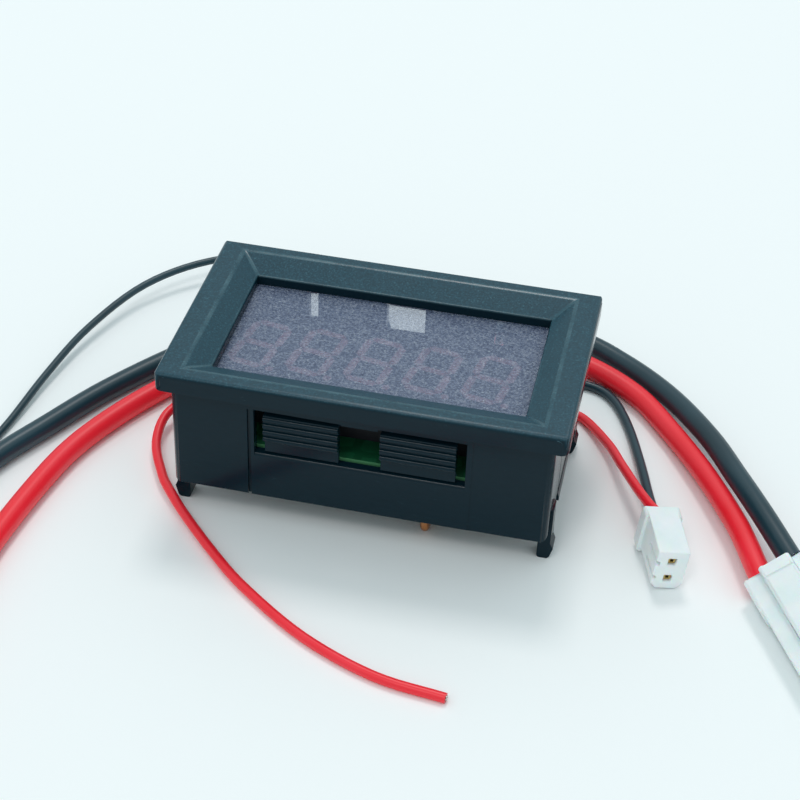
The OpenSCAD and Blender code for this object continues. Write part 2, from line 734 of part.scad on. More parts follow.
// The thin red lead on the left starts along X, so its joint turns with it
module side_joint() {
    start = thin_red_left_route[0];
    t = run(thin_red_left_route, 0);
    core = 0.6 * thin_lead_d;
    strip = 1.2 * thin_lead_d;
    translate(start) rotate([0, 90 - asin(t[2]), atan2(t[1], t[0])]) translate([0, 0, -strip])
        cylinder(h = strip, d = core, $fn = 16);
    translate([start[0] + strip / 2, start[1], start[2]])
        cylinder(h = board_z - start[2], r1 = core * 0.5, r2 = core, $fn = 24);
}

// ---------- plugs ----------
// A plug's own X runs from its lead entry to its mating face.

small_pos = [34.9, -7, 0.25];
small_turn = [-6, 0, -73];
large_pos = [46.9, -12.2, 0];
large_turn = [28, 0, -63];
entry_gap = 0.15;                            // round a lead in its entry hole
entry_depth = 1.2;

module at_small_plug() { translate(small_pos) rotate(small_turn) children(); }
module at_large_plug() { translate(large_pos) rotate(large_turn) children(); }

small_mids = [for (s = [-1, 1]) small_h / 2 + s * small_pitch / 2];
large_mids = [large_margin, large_margin + large_pitch];
large_w = 2 * large_margin + large_pitch;
large_axis_z = 1.95;
small_cell = 1;
large_cell = 1.9;

// Cross-section of the small plug: a tall block with its two lower corners cut
module small_section() {
    cut = 0.7;
    polygon([[-small_w / 2 + cut, 0], [small_w / 2 - cut, 0], [small_w / 2, cut],
        [small_w / 2, small_h], [-small_w / 2, small_h], [-small_w / 2, cut]]);
}

module small_plug() {
    collar_over = 0.4;
    slot_l = 3.6;
    slot_w = 0.45;
    slot_d = 0.5;
    color([0.93, 0.97, 0.97]) at_small_plug() difference() {
        union() {
            rotate([90, 0, 90]) linear_extrude(small_l) small_section();
            translate([-small_collar_l, 0, 0]) rotate([90, 0, 90]) linear_extrude(small_collar_l + eps)
                translate([0, small_h / 2]) round_rect(small_w + 2 * collar_over, small_h, 0.5);
        }
        for (z = small_mids) {
            translate([-small_collar_l - 1, 0, z]) rotate([0, 90, 0])
                cylinder(h = entry_depth + 1, d = thin_lead_d + 2 * entry_gap);
            translate([-small_collar_l + entry_depth - eps, -small_cell / 2, z - small_cell / 2])
                cube([small_l + small_collar_l, small_cell, small_cell]);
        }
        for (z = [small_h * 0.3, small_h * 0.68])
            translate([small_l - slot_l, -small_w / 2 - 1, z - slot_w / 2])
                cube([slot_l + 1, slot_d + 1, slot_w]);
    }
}

module small_contacts() {
    play = 0.1;
    width = small_cell - 2 * play;
    back = -small_collar_l + entry_depth + 0.2;
    front = small_l - 0.4;
    color([0.8, 0.72, 0.5]) at_small_plug() for (z = small_mids) difference() {
        translate([back, -width / 2, z - width / 2]) cube([front - back, width, width]);
        translate([front - 3, -width / 4, z - width / 4]) cube([4, width / 2, width / 2]);
    }
}

// Rectangle from its lower left corner, with round corners
module corner_rect(w, h, r) {
    translate([w / 2, h / 2]) round_rect(w, h, r);
}

// Cross-section of the large plug: a low body, and a raised middle between its two contacts
module large_section(shoulder) {
    edge_r = 0.5;
    union() {
        corner_rect(large_w, shoulder, edge_r);
        translate([large_margin, 0]) corner_rect(large_pitch, large_h, edge_r);
    }
}

module large_plug() {
    skin = 0.2;                              // wall over the entry holes
    shoulder = large_axis_z + thick_lead_d / 2 + entry_gap + skin;
    rim_l = 1.6;
    groove = 0.25;
    notch_from = 4.8;
    notch = 0.25;
    color([0.93, 0.97, 0.97]) at_large_plug() difference() {
        rotate([90, 0, 90]) linear_extrude(large_l) large_section(shoulder);
        translate([rim_l, large_margin - 1, large_h - groove]) cube([0.5, large_pitch + 2, 1]);
        for (y = [notch - 1, large_w - notch])
            translate([notch_from, y, -1]) cube([large_l, 1, large_h + 2]);
        for (y = large_mids) {
            translate([-3, y, large_axis_z]) rotate([0, 90, 0])
                cylinder(h = entry_depth + 3, d = thick_lead_d + 2 * entry_gap);
            translate([entry_depth - eps, y - large_cell / 2, large_axis_z - large_cell / 2])
                cube([large_l, large_cell, large_cell]);
        }
    }
}

module large_contacts() {
    play = 0.1;
    width = large_cell - 2 * play;
    back = entry_depth + 0.5;
    front = large_l - 1;
    bore = width / 2;
    color([0.8, 0.8, 0.78]) at_large_plug() for (y = large_mids) difference() {
        translate([back, y - width / 2, large_axis_z - width / 2]) cube([front - back, width, width]);
        translate([front - 6, y - bore / 2, large_axis_z - bore / 2]) cube([7, bore, bore]);
    }
}

housing();
clip_front_left();
clip_front_right();
clip_back_left();
clip_back_right();
filter();
glue_dabs();
display_shell();
display_segments();
display_pins();
main_board();
controller_chip();
chip_legs();
regulator();
resistors();
capacitors();
current_shunt();
solder_joints();
thick_red_left();
thick_black_left();
thin_black_left();
thin_red_left();
thick_black_right();
thick_red_right();
thin_red_right();
thin_black_right();
thick_red_tip();
thick_black_tip();
thin_black_tip();
small_plug();
small_contacts();
large_plug();
large_contacts();
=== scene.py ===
# %% [markdown]
# # A snap-in digital panel meter
#
# The meter lies on its four legs with the display upwards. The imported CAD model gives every
# piece its size and place, so this lesson only adds what a CAD model lacks: soft edges on the
# mouldings, leads that curve smoothly, stranded wire, and a finish for every surface.
# Blender works in metres here. The helper `mm` keeps the small sizes readable.

# %% Load the frame
import json
import math
import bmesh
import bpy
from mathutils import Matrix, Vector


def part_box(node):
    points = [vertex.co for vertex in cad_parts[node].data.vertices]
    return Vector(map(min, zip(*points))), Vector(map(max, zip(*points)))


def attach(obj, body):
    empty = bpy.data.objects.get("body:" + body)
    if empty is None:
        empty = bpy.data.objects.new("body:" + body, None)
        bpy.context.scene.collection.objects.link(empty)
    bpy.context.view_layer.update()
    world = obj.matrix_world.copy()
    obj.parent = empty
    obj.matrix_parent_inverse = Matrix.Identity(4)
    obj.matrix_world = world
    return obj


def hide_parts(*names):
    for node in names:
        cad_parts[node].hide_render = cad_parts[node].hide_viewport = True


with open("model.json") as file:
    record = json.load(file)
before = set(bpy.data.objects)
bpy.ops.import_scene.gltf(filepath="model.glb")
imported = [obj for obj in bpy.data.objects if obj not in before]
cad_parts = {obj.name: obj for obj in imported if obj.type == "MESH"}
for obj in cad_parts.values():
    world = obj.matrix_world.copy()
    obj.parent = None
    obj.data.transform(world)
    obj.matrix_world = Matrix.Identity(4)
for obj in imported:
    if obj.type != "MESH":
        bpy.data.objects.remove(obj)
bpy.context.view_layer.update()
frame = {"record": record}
CASE = "case"
CLIPS = ["clip_front_left", "clip_front_right", "clip_back_left", "clip_back_right"]


def mm(*values):
    """Millimetres to metres: one number, or a vector of three."""
    scaled = [v / 1000 for v in values]
    return scaled[0] if len(scaled) == 1 else Vector(scaled)


def link(obj):
    """Put a new object into the scene."""
    bpy.context.scene.collection.objects.link(obj)
    return obj


# %% [markdown]
# ## Colours and node helpers
#
# Colours are written as sRGB hex values, the way a paint or plastics chart gives them, and one
# function turns them to the linear values that the shader needs. One more function adds a node
# with its settings and links, so that each material reads as a short recipe. A Mix node has
# several sockets of one name, so its sockets go by number, and the numbers have names here.

# %% Helpers for colours and nodes
FACTOR, VALUE_A, VALUE_B, COLOUR_A, COLOUR_B, MIXED = 0, 2, 3, 6, 7, 2


def srgb(code, alpha=1.0):
    """Hex colour such as "#1c2f36" to linear red, green, blue and alpha."""
    def linear(c):
        return c / 12.92 if c <= 0.04045 else ((c + 0.055) / 1.055) ** 2.4
    parts = [linear(int(code[i:i + 2], 16) / 255) for i in (1, 3, 5)]
    return (*parts, alpha)


def feed(tree, source, socket):
    """Give an input a plain value, or link it to a socket or to a node's first output."""
    if isinstance(source, bpy.types.Node):
        source = source.outputs[0]
    if isinstance(source, bpy.types.NodeSocket):
        tree.links.new(source, socket)
    else:
        socket.default_value = source


def add(tree, kind, inputs=None, stops=(), **settings):
    """A node with its settings; `feed` takes each input, and stops fill a colour ramp."""
    node = tree.nodes.new(kind)
    for name, value in settings.items():
        setattr(node, name, value)
    for name, source in (inputs or {}).items():
        feed(tree, source, node.inputs[name])
    for i, (place, colour) in enumerate(stops):
        element = node.color_ramp.elements[i] if i < 2 else node.color_ramp.elements.new(place)
        element.position = place
        element.color = colour
    return node


# %% Helpers for materials
def start_finish(name, colour, roughness, metallic=0.0, **more):
    """A material with its principled shader, its Object coordinates and its plain values set."""
    material = bpy.data.materials.new(name)
    material.use_nodes = True
    tree = material.node_tree
    principled = tree.nodes["Principled BSDF"]
    principled.inputs["Base Color"].default_value = srgb(colour)
    principled.inputs["Roughness"].default_value = roughness
    principled.inputs["Metallic"].default_value = metallic
    for socket, value in more.items():
        principled.inputs[socket.replace("_", " ")].default_value = value
    place = add(tree, "ShaderNodeTexCoord").outputs["Object"]
    print("finish", name)
    return material, tree, principled, place


def grain(tree, principled, place, size, depth, strength=0.3):
    """Fine surface grain of that size and depth in metres, as bump."""
    noise = add(tree, "ShaderNodeTexNoise", {"Vector": place, "Scale": 1 / size, "Detail": 3.0})
    bump = add(tree, "ShaderNodeBump", {"Height": noise, "Strength": strength, "Distance": depth})
    feed(tree, bump, principled.inputs["Normal"])


def tone(tree, principled, place, size, colours):
    """Slow change between two or more colours, over patches of that size in metres."""
    noise = add(tree, "ShaderNodeTexNoise", {"Vector": place, "Scale": 1 / size, "Detail": 4.0})
    last = len(colours) - 1
    stops = [(0.3 + 0.4 * i / last, srgb(c)) for i, c in enumerate(colours)]
    feed(tree, add(tree, "ShaderNodeValToRGB", {"Fac": noise}, stops), principled.inputs["Base Color"])


def make_even(name, base, colours, roughness, patch, size, depth, strength=0.3, **more):
    """A material of one substance: its tone changes over patches, and it has a fine grain."""
    material, tree, principled, place = start_finish(name, base, roughness, **more)
    tone(tree, principled, place, patch, colours)
    grain(tree, principled, place, size, depth, strength)
    return material


def dress(obj, material):
    """Give an object that one material."""
    obj.data.materials.clear()
    obj.data.materials.append(material)
    return obj


# %% [markdown]
# ## Camera
#
# The camera looks down on the meter from the front, a little from the right, through a lens of
# 82 mm, which keeps the far end of the case nearly as large as the near one. The camera could
# be placed by a matrix, but three turns say the same in plain words: a roll about the line of
# sight, a tilt away from looking straight down, and a turn round the upright axis.

# %% Camera
LENS, SENSOR = 82.08, 36.0
AIM, DISTANCE = mm(1.697, 1.652, 10), mm(222.705)
ROLL, TILT, TURN = math.radians(2.378), math.radians(52.055), math.radians(10.869)


def make_camera():
    data = bpy.data.cameras.new("camera")
    data.sensor_width = SENSOR
    data.lens = LENS
    data.clip_start = mm(5)
    camera = link(bpy.data.objects.new("camera", data))
    facing = Matrix.Rotation(TURN, 4, "Z") @ Matrix.Rotation(TILT, 4, "X") @ Matrix.Rotation(ROLL, 4, "Z")
    camera.matrix_world = Matrix.Translation(AIM) @ facing @ Matrix.Translation((0, 0, DISTANCE))
    bpy.context.scene.camera = camera
    print("camera stands at", [round(v * 1000, 1) for v in camera.matrix_world.translation], "mm")


make_camera()

# %% [markdown]
# ## Leads
#
# Eight leads with PVC insulation are soldered under the board. Each route is a short list of
# points from the solder joint outwards. A Bezier curve would need two handles at every point,
# while a Catmull-Rom curve passes through the points by itself and bends evenly between them. A
# floor under the curve keeps every lead on the table.

# %% Routes of the leads, in millimetres
ROUTES = {
    "thick_red_left": [
        (-8.5, -2, 7.6), (-8.7, 3, 7), (-9.3, 9, 3.4), (-11.5, 15.3, 1.6), (-17.5, 18.6, 1.4),
        (-24, 15.6, 1.4), (-29.3, 9.2, 1.4), (-34.2, 1.1, 1.4), (-37.8, -7.5, 1.4), (-39.7, -17, 1.4),
        (-40.8, -27, 1.4), (-41.2, -38, 1.4), (-40.2, -48, 1.4), (-37.8, -58, 1.4)],
    "thick_black_left": [
        (-5.3, -2, 7.6), (-5.4, 3, 7), (-5.8, 9, 3.4), (-6.4, 15.5, 1.6), (-9.6, 22.6, 1.4),
        (-16.5, 25.6, 1.4), (-24, 22, 1.4), (-30.7, 14.8, 1.4), (-37.6, 4.9, 1.4), (-42.4, -4, 1.4),
        (-46.5, -12.2, 1.4), (-49, -21, 1.4), (-49.6, -30.5, 1.4), (-48.6, -40, 1.4)],
    "thin_black_left": [
        (-2.8, -1, 8.6), (-2.8, 4, 7.4), (-2.8, 10.5, 3.2), (-3.2, 19, 2.6), (-6.5, 28.6, 3),
        (-14, 36.4, 3.2), (-24, 38.3, 3.2), (-33.1, 34.6, 3), (-40, 27.3, 2.6), (-44.3, 16.6, 2),
        (-46.4, 6.3, 1.3), (-47.9, -5, 0.6), (-50, -14, 0.5), (-53.4, -22.6, 0.5), (-58, -30.6, 0.5)],
    "thin_red_left": [
        (-12.5, 6.2, 8.5), (-15.5, 6.1, 7.6), (-19, 5.7, 4.4), (-22.5, 5.2, 2.7), (-25.9, 4.5, 2.6),
        (-28.3, 1.2, 2.1), (-28, -3.9, 1.5), (-25.6, -9, 1.2), (-23.8, -11.6, 1.1), (-20.8, -15.2, 1),
        (-15.8, -20.4, 0.8), (-10.5, -25.2, 0.6), (-2, -31.2, 0.6), (7, -35.1, 0.6), (15.4, -36.4, 0.6)],
    "thick_black_right": [
        (0.9, -2, 7.6), (0.9, 3, 7), (0.9, 9, 3.4), (1.2, 16, 1.6), (4, 25.4, 1.4), (11, 32, 1.4),
        (19.5, 31.8, 1.4), (26.6, 28.1, 1.4), (33.5, 21.6, 2), (39.3, 13, 3.1), (43.4, 4.6, 4.1),
        (46.8, -2.2, 4.6), (50.2, -8.8, 4.6), (51.4, -11.1, 4.6)],
    "thick_red_right": [
        (5, -2, 7.6), (5, 3, 7), (5, 9, 3.4), (5.6, 16, 1.6), (9.2, 24, 1.4), (15.8, 27.8, 1.4),
        (22.6, 25.9, 1.4), (29.4, 21.3, 1.4), (34.4, 15, 1.5), (39.4, 6.8, 2.1), (43.6, -1.5, 2.6),
        (45.4, -5.9, 2.8), (47.1, -10.4, 2.8), (48.3, -12.7, 2.7)],
    "thin_red_right": [
        (16.5, 0, 8.5), (16.6, 5, 7.6), (17, 11.5, 2.6), (19.2, 15.3, 1), (22.8, 16, 0.6),
        (26.9, 10.6, 1.4), (29.3, 5.3, 2.5), (31.6, 0.3, 3.5), (33.3, -2.9, 4.1), (34.5, -4.6, 4.3),
        (35.1, -6.2, 4.3)],
    "thin_black_right": [
        (13, 0, 8.5), (13, 5, 7.6), (13.1, 11.5, 2.6), (15.2, 18.6, 0.8), (19.5, 22.4, 0.6),
        (23.2, 22.8, 0.6), (26.4, 20.8, 0.6), (29.1, 15.6, 0.6), (31.5, 8, 1), (33.1, 1.8, 1.5),
        (34.2, -2, 1.7), (34.5, -4.4, 1.8), (34.8, -6.2, 1.8)],
}
DIAMETER = {name: mm(2.8) if name.startswith("thick") else mm(1.2) for name in ROUTES}
DIAMETER["thin_black_left"] = mm(1.0)


# %% Smooth centrelines
def smooth(route, radius, steps=6):
    """Catmull-Rom points through a route, none of them lower than the radius over the table."""
    points = [mm(*p) for p in route]
    padded = [2 * points[0] - points[1], *points, 2 * points[-1] - points[-2]]
    line = []
    for i in range(1, len(padded) - 2):
        a, b, c, d = padded[i - 1:i + 3]
        for k in range(steps):
            t = k / steps
            line.append(0.5 * (2 * b + (c - a) * t + (2 * a - 5 * b + 4 * c - d) * t ** 2
                               + (3 * b - a - 3 * c + d) * t ** 3))
    line.append(points[-1])
    for p in line:
        p.z = max(p.z, radius)
    return line


def length_of(line):
    return sum((b - a).length for a, b in zip(line, line[1:]))


CENTRELINES = {name: smooth(route, DIAMETER[name] / 2) for name, route in ROUTES.items()}
for name, line in CENTRELINES.items():
    print(name, "is", round(length_of(line) * 1000, 1), "mm long")


# %% Lead curves
def make_lead(name):
    """A round curve along the lead's centreline, closed at both ends."""
    data = bpy.data.curves.new(name, "CURVE")
    data.dimensions = "3D"
    data.bevel_depth = DIAMETER[name] / 2
    data.bevel_resolution = 5
    data.use_fill_caps = True
    spline = data.splines.new("POLY")
    line = CENTRELINES[name]
    spline.points.add(len(line) - 1)
    for point, place in zip(spline.points, line):
        point.co = (*place, 1)
    spline.use_smooth = True
    return link(bpy.data.objects.new(name + "_sleeve", data))


leads = {name: make_lead(name) for name in ROUTES}
print(len(leads), "leads")

# %% [markdown]
# ## PVC insulation
#
# The sleeves are soft extruded PVC. The die leaves them satin, with a very slight ripple along
# their length, so the highlight is broad and a little uneven. The pigment is even, but handling
# leaves a faint change of tone every centimetre or so. Two tones and a shallow bump say all that.

# %% PVC for the leads
pvc_red = make_even("extruded_pvc_red", "#fa1c2c", ["#fa1c2c", "#ff2b3c"], 0.36,
                    mm(9), mm(0.8), mm(0.03), 0.2, IOR=1.53)
pvc_black = make_even("extruded_pvc_black", "#10303b", ["#10303b", "#1a3d49"], 0.36,
                      mm(9), mm(0.8), mm(0.03), 0.2, IOR=1.53)
for name, obj in leads.items():
    dress(obj, pvc_red if "red" in name else pvc_black)

# %% [markdown]
# ## Soft edges on the mouldings
#
# A moulding tool is never perfectly sharp, so every long edge of the case, clips and plugs
# catches a thin line of light. A Bevel modifier would round every edge alike. Here the edges are
# picked by a test, so that the bezel gets wide rounds and the windows narrow ones. A copy of the
# CAD piece is merged, its flat areas are joined again, and the bevel operation rounds the picked
# edges. Their new faces are marked, because rounds wear smooth, and on the bezel the mark also
# paints them paler, a painted highlight. The copy then stands for the CAD piece, which itself
# stays as it is.

# %% Copy, shade, bake and cut
WELD = mm(0.002)              # corners nearer than this are one corner
FLAT = math.radians(0.5)      # faces that turn by less than this are one face


def copy_of(node, name):
    """A merged copy of a CAD piece, with its flat areas joined to whole faces."""
    obj = link(bpy.data.objects.new(name, bpy.data.objects[node].data.copy()))
    bm = bmesh.new()
    bm.from_mesh(obj.data)
    bmesh.ops.remove_doubles(bm, verts=bm.verts, dist=WELD)
    bmesh.ops.dissolve_limit(bm, angle_limit=FLAT, verts=bm.verts, edges=bm.edges)
    bm.to_mesh(obj.data)
    bm.free()
    return obj


def shade(obj, crease):
    """Shade smoothly, except across edges that turn by more than so many degrees."""
    obj.data.polygons.foreach_set("use_smooth", [True] * len(obj.data.polygons))
    obj.data.set_sharp_from_angle(angle=math.radians(crease))
    return obj


def bake(obj):
    """Turn what the object's modifiers make into its own mesh."""
    depsgraph = bpy.context.evaluated_depsgraph_get()
    mesh = bpy.data.meshes.new_from_object(obj.evaluated_get(depsgraph), depsgraph=depsgraph)
    obj.modifiers.clear()
    obj.data = mesh


def cut(obj, boxes):
    """Cut boxes, each given by its lowest and highest corner, out of a closed mesh."""
    for low, high in boxes:
        cutter = link(bpy.data.objects.new("cutter", bpy.data.meshes.new("cutter")))
        bm = bmesh.new()
        bmesh.ops.create_cube(bm, size=1.0)
        bmesh.ops.scale(bm, vec=high - low, verts=bm.verts)
        bmesh.ops.translate(bm, vec=(low + high) / 2, verts=bm.verts)
        bm.to_mesh(cutter.data)
        bm.free()
        modifier = obj.modifiers.new("cut", "BOOLEAN")
        modifier.operation = "DIFFERENCE"
        modifier.solver = "EXACT"
        modifier.object = cutter
        bake(obj)
        bpy.data.objects.remove(cutter)


# %% Round the long edges
CORNER = math.radians(22)     # edges that turn by more than this count as sharp
CREASE = 38                   # degrees above which a finished edge still shades sharply


def soften(node, name, *classes, grooves=()):
    """Copy a CAD piece and round its sharp edges: classes are (width, steps, test) in turn."""
    obj = copy_of(node, name)
    cut(obj, grooves)
    bm = bmesh.new()
    bm.from_mesh(obj.data)
    rounded = bm.faces.layers.float.new("rounded")
    counts = []
    for width, steps, test in classes:
        sharp = [e for e in bm.edges
                 if len(e.link_faces) == 2 and e.calc_face_angle() > CORNER and test(e)]
        made = bmesh.ops.bevel(bm, geom=sharp, offset=width, offset_type="OFFSET", segments=steps,
                               profile=0.5, affect="EDGES", clamp_overlap=False)
        for face in made["faces"]:
            face[rounded] = 1.0
        counts.append(len(sharp))
    bm.to_mesh(obj.data)
    bm.free()
    shade(obj, CREASE)
    # Large faces keep their own direction, so that only the rounds bend the light.
    weighted = obj.modifiers.new("weighted", "WEIGHTED_NORMAL")
    weighted.weight = 100
    weighted.keep_sharp = True
    bake(obj)
    print(name, "rounded", counts, "edges,", len(obj.data.polygons), "faces")
    return obj


def room_beside(edge):
    """Width of the narrower face next to an edge: its area over the edge's length."""
    return min(face.calc_area() for face in edge.link_faces) / edge.calc_length()


def long_and_roomy(shortest, room):
    """A test for edges that are long enough to show and have room for a round beside them."""
    return lambda edge: edge.calc_length() > shortest and room_beside(edge) > room


# %% Which edges of the bezel are rounded
CASE_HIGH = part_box("housing")[1]
SEATS = {mount["name"]: mount["pos_m"] for mount in frame["record"]["mounts"]}
BEZEL_LOW = SEATS["panel_seat"][2]
FACETS_LOW = BEZEL_LOW + mm(0.85)
NEAR = mm(0.1)


def on_rim(edge):
    """The bezel's outer edges: its four upright corners and the four edges round its front."""
    middle = (edge.verts[0].co + edge.verts[1].co) / 2
    outside = any(abs(abs(middle[i]) - CASE_HIGH[i]) < NEAR / 2 for i in (0, 1))
    on_bezel = all(v.co.z > BEZEL_LOW - NEAR for v in edge.verts)
    return outside and on_bezel and middle.z > BEZEL_LOW + 2 * NEAR


def on_facets(edge):
    """Long edges of the bezel's sloping facets."""
    return all(v.co.z > FACETS_LOW for v in edge.verts) and edge.calc_length() > mm(1.5)


# %% Parting grooves
# A parting groove of the mould runs down beside one end of each window. The two grooves are on
# opposite corners of the case, so one is the other turned half round.
GROOVE_X, GROOVE_WIDE, GROOVE_DEEP = mm(13.3), mm(0.35), mm(0.3)
GROOVE_LOW, GROOVE_HIGH = mm(3), mm(17)
WALL_Y = CASE_HIGH.y - mm(1.3)


def groove(side):
    """The box that cuts the groove in front (side -1) or at the back (side 1)."""
    inner = Vector((side * (GROOVE_X - GROOVE_WIDE), side * (WALL_Y - GROOVE_DEEP), GROOVE_LOW))
    outer = Vector((side * GROOVE_X, side * (WALL_Y + mm(1)), GROOVE_HIGH))
    return Vector(map(min, inner, outer)), Vector(map(max, inner, outer))


# %% The case and its clips
case_body = soften("housing", "case_moulding", (mm(0.45), 5, on_rim), (mm(0.26), 4, on_facets),
                   (mm(0.07), 2, long_and_roomy(mm(1.2), mm(0.3))), grooves=[groove(-1), groove(1)])
clips = {name: soften(name, name + "_moulding", (mm(0.06), 2, long_and_roomy(mm(0.5), mm(0.2))))
         for name in CLIPS}

# %% [markdown]
# ## ABS for the case
#
# The case is injection-moulded ABS in a very dark slate blue. Walls left the mould polished and
# look almost black, with soft reflections of what lies next to them, and their colour is also
# painted dark, a painted shade for the little light that reaches upright faces. The bezel's faces
# that look up carry a spark-eroded texture and a film from handling, so they scatter more light;
# their colour is painted paler, partly for that and partly as painted light from overhead. Two
# materials would need a seam, so the way a face points tells the two apart, and one material
# serves the whole moulding. The rounds of the bezel are painted paler again, a painted highlight.
# The real texture is finer than 0.1 mm. Its flecks are drawn at 0.22 mm and its grain at 0.3 mm,
# so that they show.

# %% Moulded ABS
def make_abs():
    material, tree, principled, place = start_finish("injection_moulded_abs", "#0d232c", 0.3, IOR=1.54)
    normal = add(tree, "ShaderNodeNewGeometry").outputs["Normal"]
    facing = add(tree, "ShaderNodeSeparateXYZ", {"Vector": normal}).outputs["Z"]
    height = add(tree, "ShaderNodeSeparateXYZ", {"Vector": place}).outputs["Z"]
    upward = add(tree, "ShaderNodeMapRange", {"Value": facing, "From Min": 0.25, "From Max": 0.85},
                 interpolation_type="SMOOTHSTEP")
    above = add(tree, "ShaderNodeMath", {0: height, 1: BEZEL_LOW}, operation="GREATER_THAN")
    texture_and_painted_light = add(tree, "ShaderNodeMath", {0: upward, 1: above}, operation="MULTIPLY")
    # The mark on the rounds drives both their wear (lower roughness) and their painted highlight.
    wear_and_painted_highlight = add(tree, "ShaderNodeAttribute", attribute_name="rounded").outputs["Fac"]
    cloud = add(tree, "ShaderNodeTexNoise", {"Vector": place, "Scale": 1 / mm(3.5), "Detail": 5.0})

    # Gloss: textured faces are satin, rounds are rubbed smooth, and nothing is quite even.
    satin = add(tree, "ShaderNodeMapRange", {"Value": texture_and_painted_light, "To Min": 0.16, "To Max": 0.36})
    uneven = add(tree, "ShaderNodeMapRange", {"Value": cloud, "To Min": -0.06, "To Max": 0.07})
    rubbed = add(tree, "ShaderNodeMapRange", {"Value": wear_and_painted_highlight, "To Min": 0.0, "To Max": -0.1})
    rough = add(tree, "ShaderNodeMath", {0: satin, 1: uneven}, operation="ADD")
    rough = add(tree, "ShaderNodeMath", {0: rough, 1: rubbed}, operation="ADD")
    feed(tree, rough, principled.inputs["Roughness"])
    shine = add(tree, "ShaderNodeMapRange", {"Value": texture_and_painted_light, "To Min": 0.14, "To Max": 0.36})
    feed(tree, shine, principled.inputs["Specular IOR Level"])

    # Scuffs: noise stretched along the wall, cut off high so that only a few short marks remain. The base
    # of this ramp is painted dark, a painted shade for the upright walls.
    along = add(tree, "ShaderNodeMapping", {
        "Vector": place, "Scale": (1, 1, 3.5), "Rotation": (0.2, 0.5, 0)})
    marks = add(tree, "ShaderNodeTexNoise", {
        "Vector": along, "Scale": 1 / mm(2.2), "Detail": 6.0, "Distortion": 1.5})
    polish_and_painted_shade = add(tree, "ShaderNodeValToRGB", {"Fac": marks}, [
        (0.0, srgb("#071f29")), (0.70, srgb("#0a232d")), (0.80, srgb("#1b353f"))])

    # Flecks of the spark-eroded texture, on a base painted paler as painted light from overhead.
    fleck = add(tree, "ShaderNodeTexNoise", {"Vector": place, "Scale": 1 / mm(0.22), "Detail": 2.0})
    flecks_and_painted_light = add(tree, "ShaderNodeValToRGB", {"Fac": fleck}, [
        (0.35, srgb("#103845")), (0.62, srgb("#1a4757")), (0.74, srgb("#37636f"))])
    # Painted light and shade: upward faces of the bezel take the pale flecked colour, and the walls take
    # the dark one.
    colour = add(tree, "ShaderNodeMix", {
        FACTOR: texture_and_painted_light, COLOUR_A: polish_and_painted_shade, COLOUR_B: flecks_and_painted_light}, data_type="RGBA")

    # Painted highlight: rounds of the bezel are painted a little paler, here more and there less.
    painted_highlight = add(tree, "ShaderNodeMapRange", {
        "Value": cloud, "From Min": 0.3, "From Max": 0.7, "To Min": 0.0, "To Max": 0.4})
    painted_highlight = add(tree, "ShaderNodeMath", {0: painted_highlight, 1: wear_and_painted_highlight}, operation="MULTIPLY")
    painted_highlight = add(tree, "ShaderNodeMath", {0: painted_highlight, 1: texture_and_painted_light}, operation="MULTIPLY")
    colour = add(tree, "ShaderNodeMix", {
        FACTOR: painted_highlight, COLOUR_A: colour.outputs[MIXED], COLOUR_B: srgb("#62858f")}, data_type="RGBA")
    feed(tree, colour.outputs[MIXED], principled.inputs["Base Color"])
    grain(tree, principled, place, mm(0.3), mm(0.012), 0.5)
    return material


abs_plastic = make_abs()
for piece in [case_body, *clips.values()]:
    dress(piece, abs_plastic)

# %% [markdown]
# ## Filter
#
# The filter is a sheet of smoke-grey polycarbonate with a frosted face. The frost scatters
# light, so the sheet looks milky from above and the unlit digits behind it show only faintly.
# Rough transmission would be truer, but it hides the digits altogether, so the sheet is partly
# see-through instead. Grains of the frost sparkle, and the sparkle is painted into the colour: a
# Voronoi pattern puts one point in each cell, and only its middle is painted bright, a painted
# glint. Real grains are finer than 0.1 mm; they are drawn at 0.3 to 0.5 mm, so that they show.

# %% Smoked polycarbonate
def make_filter():
    material, tree, principled, place = start_finish(
        "frosted_smoked_polycarbonate", "#7f92ae", 0.45, IOR=1.585, Alpha=0.46)
    cells = add(tree, "ShaderNodeTexVoronoi", {
        "Vector": place, "Scale": 1 / mm(0.45), "Randomness": 1.0})
    size = add(tree, "ShaderNodeTexNoise", {"Vector": place, "Scale": 1 / mm(0.5), "Detail": 2.0})
    reach = add(tree, "ShaderNodeMapRange", {
        "Value": size, "From Min": 0.4, "From Max": 0.7, "To Min": 0.05, "To Max": 0.32})
    bright = add(tree, "ShaderNodeMath", {0: reach, 1: cells}, operation="SUBTRACT")
    painted_glint = add(tree, "ShaderNodeMapRange", {
        "Value": bright, "From Min": 0.0, "From Max": 0.14, "To Min": 0.0, "To Max": 0.8})
    ground = add(tree, "ShaderNodeTexNoise", {"Vector": place, "Scale": 1 / mm(0.28), "Detail": 3.0})
    milky = add(tree, "ShaderNodeValToRGB", {"Fac": ground}, [
        (0.3, srgb("#465475")), (0.5, srgb("#7a88a6")), (0.7, srgb("#adb5c8"))])
    # Painted glints: the bright middles of the cells are painted near-white.
    colour = add(tree, "ShaderNodeMix", {
        FACTOR: painted_glint, COLOUR_A: milky, COLOUR_B: srgb("#e3ecf6")}, data_type="RGBA")
    feed(tree, colour.outputs[MIXED], principled.inputs["Base Color"])
    grain(tree, principled, place, mm(0.28), mm(0.01), 0.4)
    return material


dress(bpy.data.objects["filter"], make_filter())

